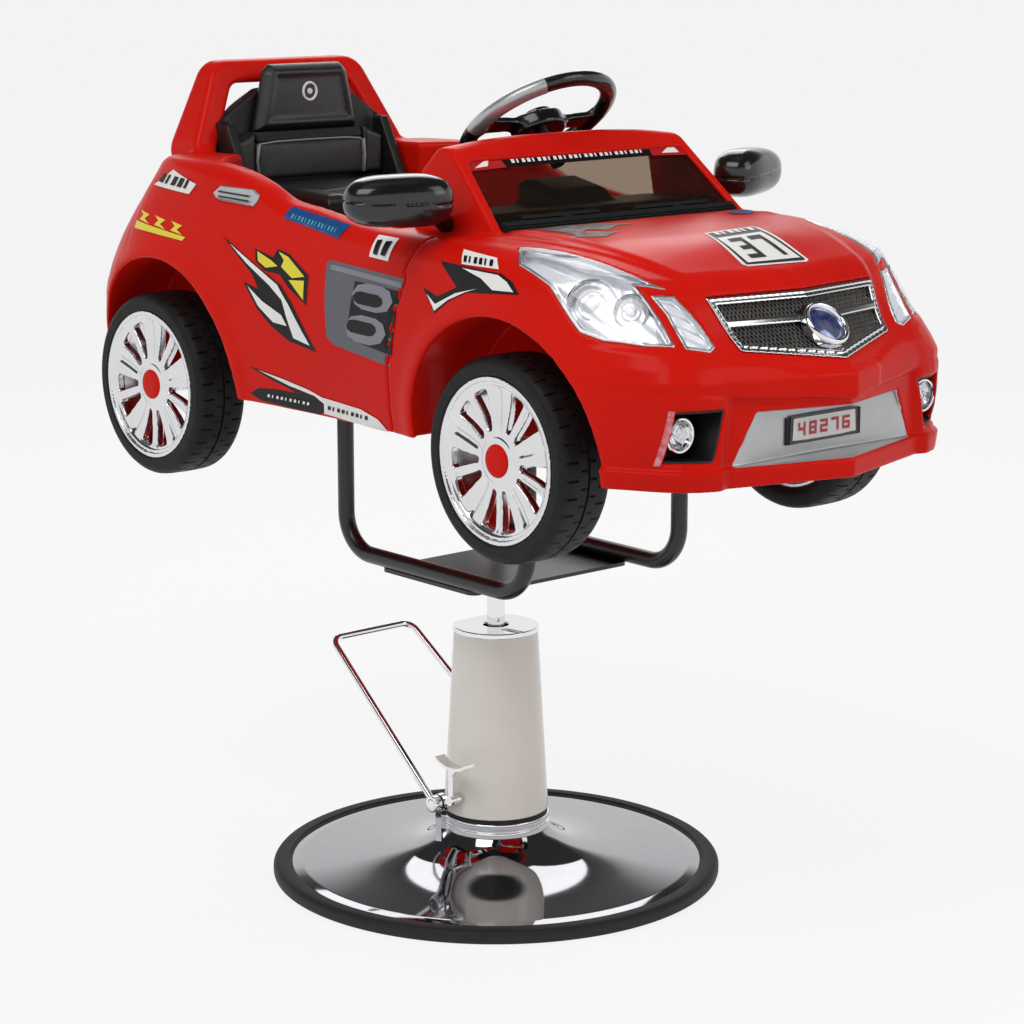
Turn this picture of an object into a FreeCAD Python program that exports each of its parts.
# Kids car barber chair: a toy car body on a tubular frame, carried by a hydraulic
# column with a round base. Units are millimetres. +X is the car's nose, +Y its left
# side, +Z up. The origin is on the floor, on the column's axis.
import FreeCAD, Part
import math
import os

V = FreeCAD.Vector

# General allowances
overrun = 20.0           # how far a cutting tool passes the face that it opens
seat_gap = 0.2           # clearance between pieces that are set into each other
running_gap = 0.05       # radial clearance of a shaft that turns or slides in a bore
face_gap = 0.3           # clearance between faces on different bodies

# Base
base_radius = 300.0
ring_width = 22.0
ring_height = 18.0
ring_round = 6.0
ground_plate_thickness = 6.0
disc_wall = 4.0
disc_edge_height = 14.0
disc_bevel_width = 16.0
disc_bevel_rise = 3.0
dome_radius = 120.0
dome_height = 25.0
flare_top_radius = 71.0
flare_top_height = 60.0
flare_neck_share = 0.30      # how far out the flare's waist lies between neck and dome
flare_neck_height_share = 0.42
collar_height = 20.0
collar_groove_depth = 2.5
collar_groove_width = 4.0
gasket_inset = 1.0
block_room = 58.0            # radius kept free for the plunger block inside the collar
gasket_height = 6.0

# Column
cover_bottom_radius = 70.0
cover_top_radius = 56.0
cover_height = 244.0
cover_wall = 2.0
cover_flat_share = 0.84      # the flat rear of the cover, as a share of its radius
cap_thickness = 7.0
cap_lip = 1.5
cap_hole_radius = 17.0
pump_radius = 34.0
pump_flange_radius = 58.0
pump_flange_thickness = 12.0
rod_radius = 12.0
piston_radius = 22.0
piston_height = 26.0
lift_travel = 150.0
rod_reach = 80.0             # rod that shows between the cap and the top plate, lowered
gland_radius = 19.0
gland_height = 12.0
gland_flange = 4.0
cylinder_floor = 120.0

# Pump lever and its bracket
lever_axis_x = -24.0
lever_axis_height = 100.0
lever_bar_radius = 4.8
lever_reach = 245.0
lever_rise = 176.0
lever_eye_span = 88.0        # from the centre plane to each eye
lever_grip_span = 70.0       # from the centre plane to each grip corner
lever_bend_radius = 18.0
lever_eye_radius = 11.0
lever_eye_width = 11.0
lever_shaft_radius = 6.0
lever_slot_width = 14.0
lever_slot_height = 32.0
cam_reach = 22.0
cam_radius = 6.0
cam_width = 11.0
plunger_radius = 6.0
plunger_head_radius = 9.0
plunger_head_height = 5.0
plunger_length = 48.0
plunger_block_width = 26.0
plunger_block_height = 56.0
plunger_stroke = 12.0
bracket_inset = 11.5         # from the eye's centre plane to the bracket's
bracket_width = 9.0
bracket_boss_radius = 12.0
bracket_post_width = 12.0
cover_notch_radius = 9.0

# Release pedal
pedal_pivot_x = 8.0
pedal_pivot_height = 112.0
pedal_pin_radius = 3.0
pedal_stem_radius = 4.0
pedal_stem_height = 46.0
pedal_eye_radius = 7.0
pedal_pad_length = 60.0
pedal_pad_width = 16.0
pedal_pad_thickness = 4.0
pedal_pad_curl = 9.0
pedal_pad_offset = 12.0

# Frame under the car
plate_thickness = 5.0
plate_front = 113.0
plate_rear = 75.0
plate_half_width = 135.0
plate_corner = 12.0
hub_radius = 27.0
hub_depth = 34.0
frame_tube_radius = 11.0
frame_tube_wall = 2.0
frame_half_span = 130.0      # from the centre plane to each tube
frame_front_x = 212.0
frame_rear_x = -153.0
frame_bend_radius = 52.0
frame_rise = 210.0           # from the tubes' lower run to the rails
rail_thickness = 4.0
rail_width = 32.0
rail_overhang = 34.0
rail_bolt_radius = 4.0
rail_bolt_head_radius = 8.0
rail_bolt_head_height = 4.0
rail_bolt_inset = 12.0

# Car body: overall sizes
front_axle_x = 323.0
wheelbase = 715.0
front_overhang = 304.0
rear_overhang = 195.0
body_half_width = 286.0
body_height = 316.0          # from the lip's underside to the rear deck
body_wall = 3.0
lip_drop = 16.0              # how far the body's lowest edge hangs below the floor pan
sill_rise = 12.0
floor_thickness = 4.0
crest_half_width = 235.0
panel_gap = 0.8

# Levels of the body from the lip to above the deck. Each is a height as a share of
# body_height, the nose's set-back and the tail's as shares of the overhangs, the half
# width as a share of body_half_width, and the nose's vee, its depth as a share of the
# front overhang and its half width as a share of body_half_width.
level_shares = [
    (-0.060, 0.006, 0.130, 0.930, 0.150, 0.552),
    (0.000, 0.004, 0.090, 0.945, 0.150, 0.552),
    (0.190, 0.000, 0.010, 0.982, 0.155, 0.552),
    (0.380, 0.004, 0.050, 1.000, 0.158, 0.560),
    (0.430, 0.052, 0.075, 1.001, 0.130, 0.520),
    (0.530, 0.165, 0.150, 0.997, 0.095, 0.440),
    (0.660, 0.290, 0.290, 0.972, 0.062, 0.478),
    (0.820, 0.440, 0.505, 0.918, 0.050, 0.478),
    (0.980, 0.590, 0.800, 0.855, 0.045, 0.478),
    (1.080, 0.680, 0.950, 0.810, 0.040, 0.478),
]
# Plan outline of a level from the vee's end round to the tail: where along the nose
# or tail overhang the point lies, from the axle, and how far out
front_corner_shares = [(0.80, 0.725), (0.65, 0.855), (0.45, 0.950), (0.20, 0.993)]
waist_share = 0.955
front_flare_share = -0.10
rear_flare_share = -0.12
rear_corner_shares = [(0.45, 0.950), (0.78, 0.770), (0.95, 0.450)]
# Top line of the body: the place as a share of the length from tail to nose, the
# centre height and the crest height as shares of body_height
top_line_shares = [
    (-0.050, 0.960, 0.950), (0.060, 0.985, 0.968), (0.145, 0.990, 0.984),
    (0.245, 0.990, 0.988), (0.305, 0.975, 0.965), (0.345, 0.955, 0.925),
    (0.385, 0.900, 0.868), (0.430, 0.868, 0.848), (0.500, 0.842, 0.812),
    (0.560, 0.825, 0.803), (0.640, 0.820, 0.806), (0.710, 0.822, 0.812),
    (0.770, 0.812, 0.797), (0.830, 0.787, 0.757), (0.890, 0.722, 0.690),
    (0.950, 0.652, 0.620), (1.040, 0.480, 0.470),
]
# Shoulder of the top: how far out from the crest, and the drop there, both as shares
# of body_height
shoulder_shares = [(0.10, 0.055), (0.22, 0.170), (0.36, 0.320)]
crown_share = 0.55           # where between centre and crest the crown is still full

# Wheel arches and wells
front_arch_radius = 160.0
rear_arch_radius = 165.0
arch_lift = 8.0
rear_arch_forward = 24.0
well_depth = 112.0           # from the body's side to the well's inner wall

# Cockpit, as half widths and places from the axles
cockpit_half_width = 222.0
cockpit_rear_half_width = 152.0
cockpit_front_back = 228.0   # front wall, behind the front axle
cockpit_rear_back = 62.0     # rear wall, behind the rear axle
cockpit_neck_forward = 60.0  # where the seat's recess starts to widen, before the rear axle
cockpit_wide_forward = 122.0
cockpit_corner = 26.0

# Seam between the front and rear shells: places behind the front axle and heights as
# shares of body_height
seam_shares = [(0.200, 0.840), (0.224, 0.780), (0.242, 0.680), (0.235, 0.640),
               (0.260, 0.490), (0.280, 0.295), (0.290, -0.05)]

# Windscreen
screen_foot_x = 247.0
screen_foot_rise = 243.0     # above the floor pan's underside
screen_width_low = 394.0
screen_width_high = 358.0
screen_slope = 42.0          # degrees from level
screen_length = 120.0
glass_thickness = 3.0
glass_inset = 4.0
pillar_width = 12.0
header_width = 20.0
frame_depth = 15.0
cheek_depth = 158.0
cheek_fall = 42.0            # how far the cheeks drop from the header to their rear edge
screen_crown = 14.0
cowl_height = 17.0
cowl_thickness = 7.0
cowl_rib = 2.0
wiper_blade_length = 124.0
wiper_blade_width = 5.0
wiper_rise = 15.0            # from the cowl's middle to the blade's middle, up the glass
wiper_arm_length = 34.0
wiper_arm_width = 6.0
wiper_thickness = 5.0
wiper_offset = 92.0

# Grille and badge
grille_top_half = 137.0
grille_low_half = 122.0
grille_top_height_share = 0.655
grille_low_height_share = 0.475
grille_keel_share = 0.430
grille_bar = 8.0
grille_proud = 3.0
grille_sink = 9.0
mesh_thickness = 2.0
mesh_margin = 3.0
mesh_pitch = 14.0
mesh_hole_radius = 4.6
badge_radius = 30.0
badge_ring = 6.0
badge_height = 14.0
badge_share = 0.46           # how far up the leaning face the badge's centre lies

# Bumper
recess_half_top = 116.0
recess_half_low = 146.0
recess_top_share = 0.262
recess_low_share = 0.075
recess_depth = 50.0
panel_thickness = 3.0
plate_half = 62.0
plate_height = 31.0
plate_face = 3.0
fog_radius = 21.0
fog_offset = 200.0
fog_height_share = 0.195
fog_depth = 26.0
fog_set_back = 97.0          # the pocket's floor, behind the nose
fog_pocket_half_wide = 36.0
fog_pocket_half_high = 27.0

# Lamps: corners as a place from the front axle, a distance from the centre plane and
# a height, as shares of the front overhang, body_half_width and body_height
headlight_shares = [(0.010, 0.860, 0.800), (0.290, 0.740, 0.765), (0.545, 0.605, 0.705),
                    (0.690, 0.668, 0.500), (0.520, 0.800, 0.490), (0.330, 0.905, 0.535),
                    (0.170, 0.950, 0.660)]
indicator_shares = [(0.592, 0.601, 0.655), (0.632, 0.545, 0.655),
                    (0.789, 0.559, 0.481), (0.730, 0.643, 0.481)]
lens_thickness = 3.0
lens_margin = 0.4
bowl_depth = 26.0
bowl_wall = 2.0
projector_radius = 22.0
reflector_radius = 17.0
projector_length = 26.0
projector_splay = 20.0
projector_shares = [(0.470, 0.730, 0.620), (0.300, 0.830, 0.680)]

# Roll bar
bar_foot_half = 191.0        # outer foot, from the centre plane
bar_corner_half = 134.0
bar_top_half = 104.0
bar_rise = 116.0             # above the deck
bar_corner_drop = 17.0
bar_foot_thickness = 24.0
bar_top_thickness = 30.0
bar_foot_depth = 68.0
bar_top_depth = 36.0
bar_rear_back = 68.0         # the bar's rear face, behind the rear axle

# Seat
seat_back_x_back = 4.0       # the seat back's front face, behind the rear axle
shell_thickness = 20.0
back_top_drop = 31.0
head_top_half = 66.0
head_low_half = 88.0
head_height = 92.0
head_thickness = 20.0
head_top_rise = 411.0        # top of the seat, above the floor pan's underside
shoulder_half = 103.0
shoulder_drop = 52.0
wing_half = 139.0
wing_drop = 78.0
wing_depth = 40.0
wing_thickness = 14.0
lumbar_half = 92.0
lumbar_height = 66.0
lumbar_thickness = 26.0
cushion_length = 205.0
cushion_thickness = 46.0
cushion_top_rise = 255.0
pad_round = 8.0
seat_box_inset = 16.0
seat_wall = 4.0

# Dashboard and steering
dash_rear_back = 235.0       # rear face, behind the front axle
dash_half_width = 186.0
dash_rise = 40.0             # above the body's top
binnacle_half_width = 62.0
binnacle_rise = 74.0
steering_x = 82.0
steering_rise = 358.0        # the wheel's centre, above the floor pan's underside
steering_tilt = 36.0
steering_radius = 96.0
steering_grip_radius = 9.0
steering_hub_radius = 33.0
steering_hub_height = 24.0
spoke_width = 26.0
spoke_thickness = 9.0
spoke_droop = 6.0
steering_shaft_radius = 9.0
steering_shaft_length = 66.0
horn_radius = 21.0
horn_height = 7.0
horn_travel = 3.0

# Mirrors
mirror_reach = 122.0
mirror_depth = 78.0
mirror_height = 60.0
mirror_x = 158.0
mirror_rise = 281.0
mirror_root = 222.0
mirror_sweep = 38.0
mirror_glass_thickness = 2.0
mirror_glass_margin = 9.0
mirror_arm_radius = 11.0
mirror_station_shares = [0.0, 0.15, 0.40, 0.70, 0.90, 1.0]
mirror_size_shares = [0.62, 0.86, 1.0, 0.98, 0.78, 0.42]

# Trim on the body's sides
handle_length = 88.0
handle_height = 21.0
handle_set_back = 530.0      # the trim's middle, behind the front axle
handle_height_share = 0.865
trim_thickness = 3.0

# Wheels
tyre_radius = 123.0
tyre_width = 77.0
tyre_shoulder = 12.0
rim_radius = 99.0
rim_seat_radius = 95.0
rim_wall = 5.0
rim_lip = 4.0
rim_dish = 7.0
wheel_outer_face = 280.0     # tyre's outer side wall from the centre plane
tread_groove_width = 3.0
tread_groove_depth = 3.0
spoke_count = 5
window_inner = 34.0
window_outer = 84.0
window_half_angle = 8.5
window_taper_share = 0.6
window_spread = 12.5
face_thickness = 11.0
hub_tube_radius = 14.0
hub_face_radius = 27.0
hub_cap_radius = 20.0
hub_cap_thickness = 5.0
hub_cap_dome = 3.0
axle_radius = 6.0
axle_beam_half = 188.0
axle_beam_width = 44.0
axle_beam_height = 28.0
axle_drop = 7.0              # axle centre below the floor pan's underside
axle_nut_radius = 10.0
axle_nut_height = 7.0

# Places that follow from the sizes above
inner_ring_radius = base_radius - ring_width
collar_top = flare_top_height + collar_height
cover_bottom = collar_top + gasket_height
cover_top = cover_bottom + cover_height
cap_top = cover_top + cap_thickness
plate_bottom = cap_top + rod_reach
plate_top = plate_bottom + plate_thickness
frame_tube_height = plate_top + frame_tube_radius
floor_height = frame_tube_height + frame_rise + rail_thickness
pan_top = floor_height + floor_thickness
lip_height = floor_height - lip_drop
rear_axle_x = front_axle_x - wheelbase
nose_x = front_axle_x + front_overhang
tail_x = rear_axle_x - rear_overhang
axle_height = floor_height - axle_drop
rear_arch_x = rear_axle_x + rear_arch_forward
arch_height = axle_height + arch_lift
well_inner = body_half_width - well_depth
deck_height = lip_height + body_height
tyre_inner_face = wheel_outer_face - tyre_width


def box(x0, x1, y0, y1, z0, z1):
    """A box between two corners."""
    return Part.makeBox(x1 - x0, y1 - y0, z1 - z0, V(x0, y0, z0))


def rod(start, end, radius):
    """A round bar from one point to another."""
    return Part.makeCylinder(radius, (end - start).Length, start, end - start)


def across(x, z, radius, y0, y1):
    """A round bar along Y."""
    return rod(V(x, y0, z), V(x, y1, z), radius)


def prism(points, direction):
    """A polygon swept along a direction."""
    return Part.Face(Part.makePolygon(points + points[:1])).extrude(direction)


def side_prism(outline, y0, y1):
    """An outline of (x, z) points swept from y0 to y1."""
    return prism([V(x, y0, z) for x, z in outline], V(0, y1 - y0, 0))


def plan_prism(outline, z0, z1):
    """An outline of (x, y) points swept from z0 to z1."""
    return prism([V(x, y, z0) for x, y in outline], V(0, 0, z1 - z0))


def spun(profile):
    """A closed profile of (radius, height) points turned about the column's axis."""
    face = Part.Face(Part.makePolygon([V(r, 0, z) for r, z in profile + profile[:1]]))
    return face.revolve(V(), V(0, 0, 1), 360)


def mirrored(shape):
    """The same shape on the other side of the car."""
    return shape.mirror(V(), V(0, 1, 0))


def both(shape):
    """A shape and its mirror image as separate solids."""
    return Part.makeCompound([shape, mirrored(shape)])


def bent_bar(points, bend, radius):
    """A round bar through straight runs joined by arcs of one bend radius."""
    edges = []
    start = points[0]
    for before, corner, after in zip(points, points[1:], points[2:]):
        back = (before - corner).normalize()
        ahead = (after - corner).normalize()
        half = back.getAngle(ahead) / 2
        tangent = bend / math.tan(half)
        middle = (back + ahead).normalize() * (bend / math.sin(half) - bend)
        first = corner + back * tangent
        last = corner + ahead * tangent
        edges.append(Part.makeLine(start, first))
        edges.append(Part.Arc(first, corner + middle, last).toShape())
        start = last
    edges.append(Part.makeLine(start, points[-1]))
    path = Part.Wire(edges)
    section = Part.Wire(Part.makeCircle(radius, points[0], points[1] - points[0]))
    return path.makePipeShell([section], True, False)


def rounded(shape, radius, chosen):
    """Rounds the edges that a test picks, limited by the piece's own size."""
    return shape.makeFillet(radius, [edge for edge in shape.Edges if chosen(edge)])


def is_along(edge, direction):
    """Whether a straight edge runs along a direction."""
    if edge.Curve.TypeId != "Part::GeomLine":
        return False
    return abs(abs(edge.Curve.Direction.dot(direction)) - 1) < 1e-6


# Base and column

def base_ring():
    top = ring_height
    side = V(base_radius, 0, top - ring_round)
    arc_share = math.sqrt(0.5)
    middle = V(base_radius - ring_round + ring_round * arc_share, 0,
               top - ring_round + ring_round * arc_share)
    end = V(base_radius - ring_round, 0, top)
    inner = inner_ring_radius
    wire = Part.Wire([
        Part.makeLine(V(inner, 0, 0), V(base_radius, 0, 0)),
        Part.makeLine(V(base_radius, 0, 0), side),
        Part.Arc(side, middle, end).toShape(),
        Part.makeLine(end, V(inner, 0, top)),
        Part.makeLine(V(inner, 0, top), V(inner, 0, 0)),
    ])
    return Part.Face(wire).revolve(V(), V(0, 0, 1), 360)


def ground_plate():
    return Part.makeCylinder(inner_ring_radius, ground_plate_thickness)


def disc_skin(drop, draw):
    """One skin of the chromed disc: points from the rim to the neck."""
    rim = inner_ring_radius
    bevel = rim - disc_bevel_width
    edge_top = disc_edge_height - drop
    neck = flare_top_radius - draw
    waist = neck + (dome_radius - neck) * flare_neck_share
    rise = dome_height + (flare_top_height - dome_height) * flare_neck_height_share - drop
    return (V(rim, 0, edge_top), V(bevel, 0, edge_top + disc_bevel_rise),
            V(dome_radius, 0, dome_height - drop), V(waist, 0, rise),
            V(neck, 0, flare_top_height))


def base_disc():
    """Bevelled rim, shallow dome and a trumpet flare up to the collar."""
    skins = []
    for drop, draw in ((0, 0), (disc_wall, disc_wall)):
        rim, bevel, dome, waist, neck = disc_skin(drop, draw)
        slope = (dome - bevel).normalize()
        curve = Part.BSplineCurve()
        curve.interpolate(Points=[dome, waist, neck],
                          InitialTangent=slope, FinalTangent=V(0, 0, 1))
        skins.append((rim, bevel, dome, neck, curve.toShape()))
    outer, inner = skins
    foot = V(outer[0].x, 0, ground_plate_thickness)
    foot_in = V(inner[1].x, 0, ground_plate_thickness)
    wire = Part.Wire(Part.__sortEdges__([
        Part.makeLine(foot, outer[0]), Part.makeLine(outer[0], outer[1]),
        Part.makeLine(outer[1], outer[2]), outer[4],
        Part.makeLine(outer[3], inner[3]), inner[4],
        Part.makeLine(inner[2], inner[1]), Part.makeLine(inner[1], foot_in),
        Part.makeLine(foot_in, foot),
    ]))
    return Part.Face(wire).revolve(V(), V(0, 0, 1), 360)


def base_collar():
    """Clamp ring with a turned groove round it."""
    inner = block_room
    outer = flare_top_radius
    low = flare_top_height
    middle = (low + collar_top) / 2
    half = collar_groove_width / 2
    groove = outer - collar_groove_depth
    return spun([(inner, low), (outer, low), (outer, middle - half), (groove, middle - half),
                 (groove, middle + half), (outer, middle + half), (outer, collar_top),
                 (inner, collar_top)])


def cover_gasket():
    outer = cover_bottom_radius - gasket_inset
    return spun([(block_room, collar_top), (outer, collar_top),
                 (outer, cover_bottom), (block_room, cover_bottom)])


def flat_backed(radius, height):
    """The cover's outline at a height: a circle with a flat across its rear."""
    flat = radius * cover_flat_share
    reach = math.sqrt(radius ** 2 - flat ** 2)
    start = V(-flat, -reach, height)
    end = V(-flat, reach, height)
    return Part.Wire([Part.Arc(start, V(radius, 0, height), end).toShape(),
                      Part.makeLine(end, start)])


def column_cover():
    """Tapered cover, flat at the rear, notched where the lever's shaft comes out."""
    low = cover_bottom
    outer = Part.makeLoft([flat_backed(cover_bottom_radius, low),
                           flat_backed(cover_top_radius, cover_top)], True, True)
    inner = Part.makeLoft([flat_backed(cover_bottom_radius - cover_wall, low),
                           flat_backed(cover_top_radius - cover_wall, cover_top)], True, True)
    reach = cover_bottom_radius + overrun
    notch = across(lever_axis_x, lever_axis_height, cover_notch_radius, -reach, reach)
    drop = box(lever_axis_x - cover_notch_radius, lever_axis_x + cover_notch_radius,
               -reach, reach, low, lever_axis_height)
    return outer.cut(inner).cut(notch).cut(drop)


def column_cap():
    """Chromed cap that closes the cover round the rod."""
    outer = Part.Face(flat_backed(cover_top_radius + cap_lip, cover_top))
    cap = outer.extrude(V(0, 0, cap_thickness))
    cap = rounded(cap, cap_lip, lambda edge: edge.BoundBox.ZMin > cap_top - seat_gap)
    bore = Part.makeCylinder(cap_hole_radius, cap_thickness, V(0, 0, cover_top))
    return cap.cut(bore)


def pump_body():
    """Hydraulic cylinder on its flange, with the plunger block behind it."""
    top = cover_top - gland_flange
    body = Part.makeCylinder(pump_radius, top - ground_plate_thickness,
                             V(0, 0, ground_plate_thickness))
    body = body.fuse(Part.makeCylinder(pump_flange_radius, pump_flange_thickness,
                                       V(0, 0, ground_plate_thickness)))
    plunger_x = lever_axis_x - cam_reach
    half = plunger_block_width / 2
    flange_top = ground_plate_thickness + pump_flange_thickness
    block_top = flange_top + plunger_block_height
    body = body.fuse(box(plunger_x - half / 2 - plunger_radius / 2, 0, -half, half,
                         flange_top, block_top))
    body = body.cut(Part.makeCylinder(piston_radius + running_gap, top - cylinder_floor,
                                      V(0, 0, cylinder_floor)))
    body = body.cut(across(lever_axis_x, lever_axis_height,
                           lever_shaft_radius + running_gap, -pump_radius, pump_radius))
    slot = lever_slot_width / 2
    body = body.cut(box(-pump_radius - overrun, lever_axis_x + cam_radius + face_gap,
                        -slot, slot, lever_axis_height - lever_slot_height / 2,
                        lever_axis_height + lever_slot_height / 2))
    bore_floor = lever_axis_height - cam_radius - plunger_length - plunger_stroke
    body = body.cut(rod(V(plunger_x, 0, bore_floor), V(plunger_x, 0, block_top + overrun),
                        plunger_radius + running_gap))
    return body


def rod_gland():
    """Sealing bush that guides the rod at the cylinder's mouth."""
    top = cover_top - gland_flange
    plug = piston_radius - seat_gap
    bore = rod_radius + running_gap
    return spun([(bore, top - gland_height), (plug, top - gland_height), (plug, top),
                 (pump_radius, top), (pump_radius, cover_top),
                 (gland_radius, cover_top), (bore, cover_top)])


def piston_rod():
    """Chromed rod with its piston, at the bottom of its travel."""
    low = cylinder_floor + face_gap
    return spun([(0, low), (piston_radius, low), (piston_radius, low + piston_height),
                 (rod_radius, low + piston_height), (rod_radius, plate_bottom - face_gap),
                 (0, plate_bottom - face_gap)])


def pump_lever():
    """U-shaped foot lever with an eye at each end."""
    top = lever_axis_height + lever_rise
    rear = lever_axis_x - lever_reach
    toward_grip = V(-lever_reach, lever_eye_span - lever_grip_span, lever_rise).normalize()
    right_eye = V(lever_axis_x, -lever_eye_span, lever_axis_height)
    start = right_eye + toward_grip * lever_shaft_radius
    left = V(start.x, -start.y, start.z)
    bar = bent_bar([start, V(rear, -lever_grip_span, top), V(rear, lever_grip_span, top), left],
                   lever_bend_radius, lever_bar_radius)
    half = lever_eye_width / 2
    for side in (-1, 1):
        middle = side * lever_eye_span
        eye = across(lever_axis_x, lever_axis_height, lever_eye_radius,
                     middle - half, middle + half)
        bar = bar.fuse(eye)
    bore = across(lever_axis_x, lever_axis_height, lever_shaft_radius,
                  -lever_eye_span - overrun, lever_eye_span + overrun)
    return bar.cut(bore)


def lever_shaft():
    """Cross shaft with the cam that presses the plunger."""
    reach = lever_eye_span + lever_eye_width / 2
    shaft = across(lever_axis_x, lever_axis_height, lever_shaft_radius, -reach, reach)
    tip = lever_axis_x - cam_reach
    half = cam_width / 2
    shaft = shaft.fuse(across(tip, lever_axis_height, cam_radius, -half, half))
    arm = box(tip, lever_axis_x, -half, half,
              lever_axis_height - cam_radius, lever_axis_height + cam_radius)
    return shaft.fuse(arm)


def pump_plunger():
    top = lever_axis_height - cam_radius - face_gap
    x = lever_axis_x - cam_reach
    stem = rod(V(x, 0, top - plunger_length), V(x, 0, top), plunger_radius)
    head = rod(V(x, 0, top - plunger_head_height), V(x, 0, top), plunger_head_radius)
    return stem.fuse(head)


def bracket_place():
    return lever_eye_span - bracket_inset


def lever_bracket(seat):
    """A post on each side of the flare that carries the lever's shaft and the pedal's pin."""
    middle = -bracket_place()
    half = bracket_width / 2
    boss = across(lever_axis_x, lever_axis_height, bracket_boss_radius,
                  middle - half, middle + half)
    post = box(lever_axis_x - bracket_post_width / 2, lever_axis_x + bracket_post_width / 2,
               middle - half, middle + half, dome_height, lever_axis_height)
    post = post.fuse(boss).removeSplitter()
    bore = across(lever_axis_x, lever_axis_height, lever_shaft_radius + running_gap,
                  middle - overrun, middle + overrun)
    plain = post.cut(seat).cut(bore)
    plain = main_piece(plain)
    arm_half = pedal_eye_radius
    arm = side_prism([(lever_axis_x, lever_axis_height - arm_half),
                      (pedal_pivot_x, pedal_pivot_height - arm_half),
                      (pedal_pivot_x, pedal_pivot_height + arm_half),
                      (lever_axis_x, lever_axis_height + arm_half)],
                     middle - half, middle + half)
    arm = arm.fuse(across(pedal_pivot_x, pedal_pivot_height, pedal_eye_radius,
                          middle - half, middle + half))
    pin_end = middle - half - face_gap - 2 * pedal_stem_radius
    arm = arm.fuse(across(pedal_pivot_x, pedal_pivot_height, pedal_pin_radius,
                          pin_end, middle - half))
    right = plain.fuse(arm).cut(bore)
    return Part.makeCompound([right, mirrored(plain)])


def release_pedal():
    """Small foot pedal with a winged pad, on a pin beside the lever's bracket."""
    near = -bracket_place() - bracket_width / 2 - face_gap
    far = near - 2 * pedal_stem_radius
    middle = (near + far) / 2
    foot = V(pedal_pivot_x, middle, pedal_pivot_height)
    top = foot + V(0, 0, pedal_stem_height)
    stem = rod(foot, top, pedal_stem_radius)
    eye = across(pedal_pivot_x, pedal_pivot_height, pedal_eye_radius, far, near)
    half = pedal_pad_length / 2
    lean = pedal_pad_offset
    pad_z = top.z
    outline = [V(top.x + lean - half, 0, pad_z + pedal_pad_curl),
               V(top.x + lean, 0, pad_z), V(top.x + lean + half, 0, pad_z + pedal_pad_curl)]
    under = Part.Arc(*outline).toShape()
    lift = V(0, 0, pedal_pad_thickness)
    over = Part.Arc(*[point + lift for point in outline]).toShape()
    wire = Part.Wire([under, Part.makeLine(outline[2], outline[2] + lift), over,
                      Part.makeLine(outline[0] + lift, outline[0])])
    pad = Part.Face(wire).extrude(V(0, pedal_pad_width, 0))
    pad.translate(V(0, near - pedal_pad_width, 0))
    web = side_prism([(top.x - pedal_stem_radius, pad_z - pedal_pad_offset),
                      (top.x + pedal_stem_radius, pad_z - pedal_pad_offset),
                      (top.x + lean + pedal_stem_radius, pad_z + pedal_pad_thickness / 2),
                      (top.x - pedal_stem_radius, pad_z + pedal_pad_thickness / 2)],
                     middle - pedal_stem_radius / 2, middle + pedal_stem_radius / 2)
    pin_hole = across(pedal_pivot_x, pedal_pivot_height, pedal_pin_radius + running_gap,
                      far - overrun, near + overrun)
    return stem.fuse([eye, pad, web]).cut(pin_hole)


# Frame under the car

def top_plate():
    """Steel plate with the hub that turns on the rod."""
    plate = box(-plate_rear, plate_front, -plate_half_width, plate_half_width,
                plate_bottom, plate_top)
    plate = rounded(plate, plate_corner, lambda edge: is_along(edge, V(0, 0, 1)))
    hub = Part.makeCylinder(hub_radius, hub_depth, V(0, 0, plate_bottom - hub_depth))
    bore = Part.makeCylinder(rod_radius + running_gap, hub_depth,
                             V(0, 0, plate_bottom - hub_depth))
    return plate.fuse(hub).cut(bore)


def frame_tube():
    """U-shaped tube from one rail down under the plate and up again."""
    y = -frame_half_span
    top = floor_height - rail_thickness
    points = [V(frame_rear_x, y, top), V(frame_rear_x, y, frame_tube_height),
              V(frame_front_x, y, frame_tube_height), V(frame_front_x, y, top)]
    outer = bent_bar(points, frame_bend_radius, frame_tube_radius)
    inner = bent_bar(points, frame_bend_radius, frame_tube_radius - frame_tube_wall)
    return outer.cut(inner)


def rail_bolt_places():
    front = frame_front_x + rail_overhang - rail_bolt_inset
    rear = frame_rear_x - rail_overhang + rail_bolt_inset
    inner_front = frame_front_x - rail_overhang
    inner_rear = frame_rear_x + rail_overhang
    return [V(x, -frame_half_span, 0) for x in (rear, inner_rear, inner_front, front)]


def mounting_rail():
    rail = box(frame_rear_x - rail_overhang, frame_front_x + rail_overhang,
               -frame_half_span - rail_width / 2, -frame_half_span + rail_width / 2,
               floor_height - rail_thickness, floor_height)
    for place in rail_bolt_places():
        low = place + V(0, 0, floor_height - rail_thickness)
        rail = rail.cut(rod(low, low + V(0, 0, rail_thickness), rail_bolt_radius))
    return rail


def fasteners():
    """Bolts through the rails and the floor pan, and the nuts on the axles' ends."""
    bolts = []
    low = floor_height - rail_thickness - rail_bolt_head_height
    for place in rail_bolt_places():
        shank = rod(place + V(0, 0, low), place + V(0, 0, pan_top + rail_bolt_head_height),
                    rail_bolt_radius - seat_gap)
        nut = rod(place + V(0, 0, low), place + V(0, 0, floor_height - rail_thickness),
                  rail_bolt_head_radius)
        head = rod(place + V(0, 0, pan_top),
                   place + V(0, 0, pan_top + rail_bolt_head_height), rail_bolt_head_radius)
        bolts.append(shank.fuse([nut, head]))
    pieces = bolts + axle_nuts()
    return Part.makeCompound(pieces + [mirrored(piece) for piece in pieces])


# Car body

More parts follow.
